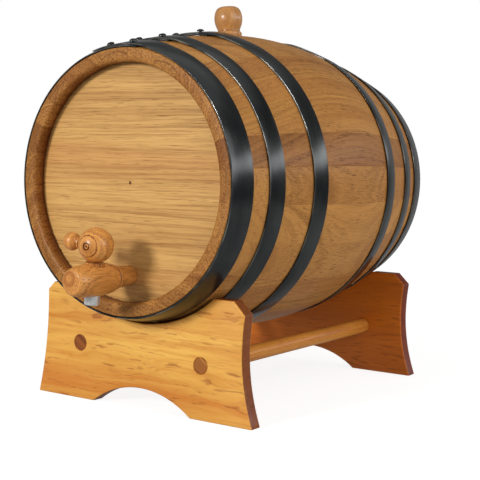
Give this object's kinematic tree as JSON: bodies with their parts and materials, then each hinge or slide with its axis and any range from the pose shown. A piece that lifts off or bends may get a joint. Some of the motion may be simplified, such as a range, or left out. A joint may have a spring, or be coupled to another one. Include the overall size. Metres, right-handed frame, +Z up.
{
  "type": "oak barrel on a cradle",
  "caption": "Small oak ageing barrel with steel hoops, a wooden tap and a bung, lying on a two-board wooden cradle.",
  "frame": {"origin": "centre of the object's bounding box, at the surface that the cradle's feet stand on", "axes": "+Y along the barrel's axis from the tap's end to the rear, +X to the right as seen from the tap's end, +Z up"},
  "size_m": [0.2699, 0.3896, 0.3579],
  "materials": {
    "stave_oak": "lacquered satin oak, grain along the stave",
    "head_oak": "lacquered satin oak, lighter than the staves, grain across the head",
    "tap_oak": "turned and lacquered hardwood",
    "bung_wood": "turned and lacquered hardwood, glossy",
    "board_pine": "lacquered pine, warm orange",
    "rail_pine": "lacquered pine dowel",
    "black_steel": "semi-gloss black",
    "bright_steel": "bright, lightly brushed"
  },
  "bodies": {
    "cradle": {"front_board": "board_pine", "rear_board": "board_pine", "left_rail": "rail_pine", "right_rail": "rail_pine"},
    "barrel": {"bung_stave": "stave_oak", "stave_01": "stave_oak", "stave_02": "stave_oak", "stave_03": "stave_oak", "stave_04": "stave_oak", "stave_05": "stave_oak", "stave_06": "stave_oak", "stave_07": "stave_oak", "stave_08": "stave_oak", "stave_09": "stave_oak", "stave_10": "stave_oak", "stave_11": "stave_oak", "stave_12": "stave_oak", "stave_13": "stave_oak", "stave_14": "stave_oak", "stave_15": "stave_oak", "stave_16": "stave_oak", "stave_17": "stave_oak", "stave_18": "stave_oak", "stave_19": "stave_oak", "stave_20": "stave_oak", "stave_21": "stave_oak", "stave_22": "stave_oak", "stave_23": "stave_oak", "stave_24": "stave_oak", "stave_25": "stave_oak", "front_head_lower": "head_oak", "front_head_middle": "head_oak", "front_head_upper": "head_oak", "rear_head_lower": "head_oak", "rear_head_middle": "head_oak", "rear_head_upper": "head_oak", "front_chime_hoop": "black_steel", "front_quarter_hoop": "black_steel", "front_bilge_hoop": "black_steel", "rear_chime_hoop": "black_steel", "rear_quarter_hoop": "black_steel", "rear_bilge_hoop": "black_steel", "front_chime_rivet_left": "black_steel", "front_chime_rivet_right": "black_steel", "front_quarter_rivet_left": "black_steel", "front_quarter_rivet_right": "black_steel", "front_bilge_rivet_left": "black_steel", "front_bilge_rivet_right": "black_steel", "rear_chime_rivet_left": "black_steel", "rear_chime_rivet_right": "black_steel", "rear_quarter_rivet_left": "black_steel", "rear_quarter_rivet_right": "black_steel", "rear_bilge_rivet_left": "black_steel", "rear_bilge_rivet_right": "black_steel"},
    "bung": {"bung": "bung_wood"},
    "tap": {"tap_body": "tap_oak", "tap_spout": "bright_steel"},
    "key": {"tap_plug": "tap_oak", "tap_handle": "tap_oak", "tap_peg": "tap_oak"}
  },
  "joints": [
    {"name": "barrel_lift", "type": "slide", "parent": "cradle", "child": "barrel", "axis": [0, 0, 1], "range_m": [0, 0.08]},
    {"name": "bung_pull", "type": "slide", "parent": "barrel", "child": "bung", "axis": [-0.0785, 0, 0.9969], "range_m": [0, 0.035]},
    {"name": "tap_pull", "type": "slide", "parent": "barrel", "child": "tap", "axis": [0, -1, 0], "range_m": [0, 0.035]},
    {"name": "key_turn", "type": "hinge", "parent": "tap", "child": "key", "pos_m": [0, -0.1688, 0.1167], "axis": [0.0872, 0, 0.9962], "continuous": true}
  ]
}
